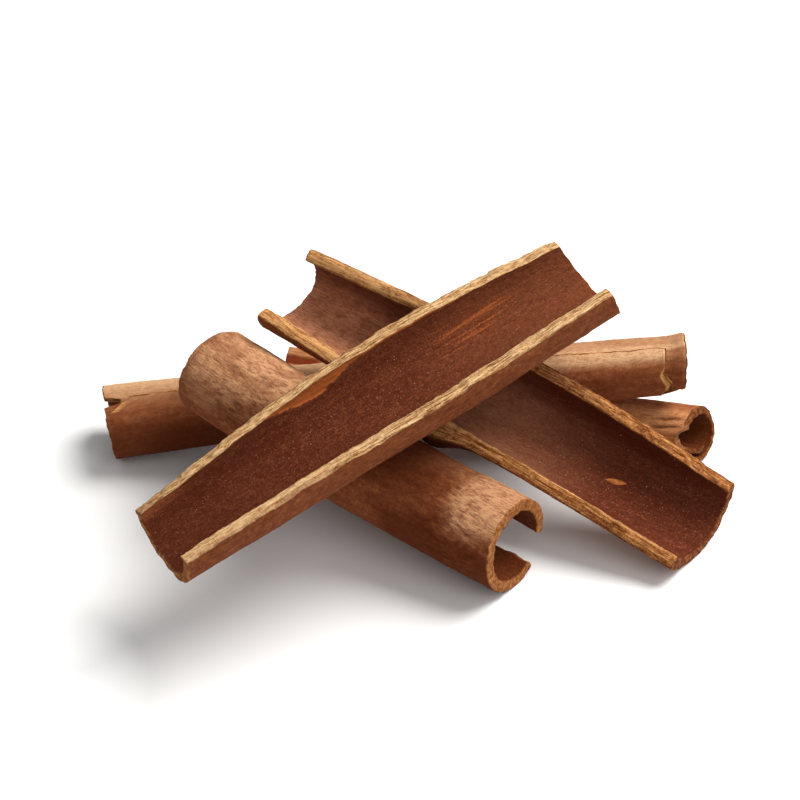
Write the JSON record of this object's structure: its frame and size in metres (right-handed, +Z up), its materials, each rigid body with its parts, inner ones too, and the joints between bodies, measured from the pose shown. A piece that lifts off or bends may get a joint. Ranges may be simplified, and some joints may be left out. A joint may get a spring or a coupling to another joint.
{
  "type": "stack of split cinnamon bark",
  "caption": "Loose crossed stack of dried cinnamon bark: open split troughs laid over rolled quills, lying on a surface.",
  "frame": {"origin": "on the table, under the middle of the stack", "axes": "+Z up; +X to the viewer's right, along the longest way of the stack; -Y towards the viewer"},
  "size_m": [0.1394, 0.0952, 0.0553],
  "materials": {
    "top_trough_bark": "dry rough bark",
    "cross_trough_bark": "dry rough bark",
    "split_quill_bark": "dry rough bark",
    "scroll_quill_bark": "dry rough bark",
    "back_quill_bark": "dry rough bark"
  },
  "bodies": {
    "root": {"top_trough": "top_trough_bark", "cross_trough": "cross_trough_bark", "split_quill": "split_quill_bark", "scroll_quill": "scroll_quill_bark", "back_quill": "back_quill_bark"}
  },
  "joints": []
}
